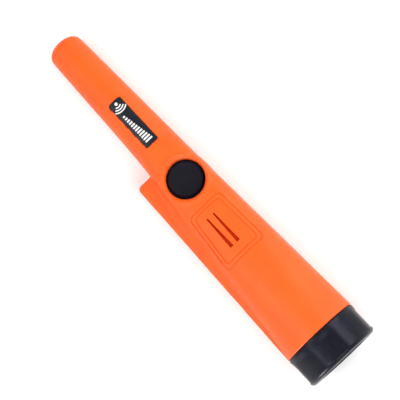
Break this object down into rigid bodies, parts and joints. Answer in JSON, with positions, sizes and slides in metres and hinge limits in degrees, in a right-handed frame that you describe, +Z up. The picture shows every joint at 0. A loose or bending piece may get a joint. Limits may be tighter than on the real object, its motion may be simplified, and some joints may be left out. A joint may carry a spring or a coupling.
{
  "type": "pinpointer probe",
  "caption": "Handheld metal-detecting pinpointer: tapered wand with search coil, push button, speaker panel, side scraping fin with lamp, and a round screw cap over the battery bay.",
  "frame": {"origin": "below the middle of the whole object, on the plane that the belly and the cap rest on", "axes": "+X from the tip of the wand to the screw cap, +Z up out of the push button, and the scraping fin on the -Y side"},
  "size_m": [0.235, 0.0435, 0.0435],
  "materials": {
    "orange_plastic": "satin moulded, faint texture",
    "black_plastic": "satin black",
    "black_rubber": "matt rubber",
    "red_rubber": "thin silicone sheet",
    "label_black": "satin printed plate",
    "foam": "open foam",
    "clear_resin": "clear cast resin",
    "circuit_board": "solder mask",
    "chip_black": "moulded epoxy",
    "steel": "plain steel",
    "tin": "tin plated",
    "brass": "turned brass",
    "copper": "enamelled copper wire",
    "ferrite": "sintered ferrite",
    "paper_cone": "pulp cone",
    "red_insulation": "PVC",
    "black_insulation": "PVC",
    "battery_jacket": "printed steel jacket",
    "ivory_plastic": "moulded nylon",
    "blue_plastic": "moulded"
  },
  "bodies": {
    "housing": {"upper_shell": "orange_plastic", "lower_shell": "orange_plastic", "speaker_cover": "orange_plastic", "name_label": "label_black", "button_retainer": "black_plastic", "tact_switch_body": "chip_black", "main_board": "circuit_board", "board_screw_front": "steel", "board_screw_rear": "steel", "controller_chip": "chip_black", "amplifier_chip": "chip_black", "trim_pot": "blue_plastic", "crystal_can": "tin", "capacitor_large": "chip_black", "capacitor_small": "chip_black", "speaker_membrane": "red_rubber", "speaker_gasket": "foam", "speaker_basket": "tin", "speaker_cone": "paper_cone", "speaker_magnet": "steel", "motor_can": "steel", "motor_holder": "black_rubber", "ferrite_rod": "ferrite", "coil_bobbin": "ivory_plastic", "coil_winding": "copper", "wand_foam_ring": "foam", "tip_pad": "foam", "lamp_led": "clear_resin", "lamp_grommet": "black_rubber", "battery_case": "battery_jacket", "battery_positive": "tin", "battery_negative": "tin", "contact_plate": "black_plastic", "contact_positive": "tin", "contact_negative": "tin", "battery_tube": "black_plastic", "coil_lead_inner": "copper", "coil_lead_outer": "copper", "lamp_lead_red": "red_insulation", "lamp_lead_black": "black_insulation", "speaker_lead_red": "red_insulation", "speaker_lead_black": "black_insulation", "motor_lead_red": "red_insulation", "motor_lead_black": "black_insulation", "battery_lead_red": "red_insulation", "battery_lead_black": "black_insulation"},
    "button": {"button_cap": "black_rubber"},
    "switch_plunger": {"tact_switch_plunger": "ivory_plastic"},
    "motor_rotor": {"motor_shaft": "steel", "motor_weight": "brass"},
    "cap_seal": {"cap_o_ring": "black_rubber"},
    "cap": {"cap_shell": "black_plastic", "cap_pad": "foam"}
  },
  "joints": [
    {"name": "button_press", "type": "slide", "parent": "housing", "child": "button", "axis": [0, 0, -1], "range_m": [0, 0.0006], "stiffness_N_per_m": 1500},
    {"name": "plunger_press", "type": "slide", "parent": "housing", "child": "switch_plunger", "axis": [0, 0, -1], "range_m": [0, 0.0006]},
    {"name": "motor_spin", "type": "hinge", "parent": "housing", "child": "motor_rotor", "pos_m": [0.0125, 0.00335, 0.0054], "axis": [1, 0, 0], "continuous": true},
    {"name": "cap_advance", "type": "slide", "parent": "housing", "child": "cap_seal", "axis": [1, 0, 0], "range_m": [0, 0.0061]},
    {"name": "cap_turn", "type": "hinge", "parent": "cap_seal", "child": "cap", "pos_m": [0.1085, 0, 0.02175], "axis": [1, 0, 0], "range_deg": [0, 720]}
  ],
  "couplings": [
    {"joint": "plunger_press", "follows": "button_press", "ratio": 1},
    {"joint": "cap_advance", "follows": "cap_turn", "m_per_rad": 0.00047746}
  ]
}
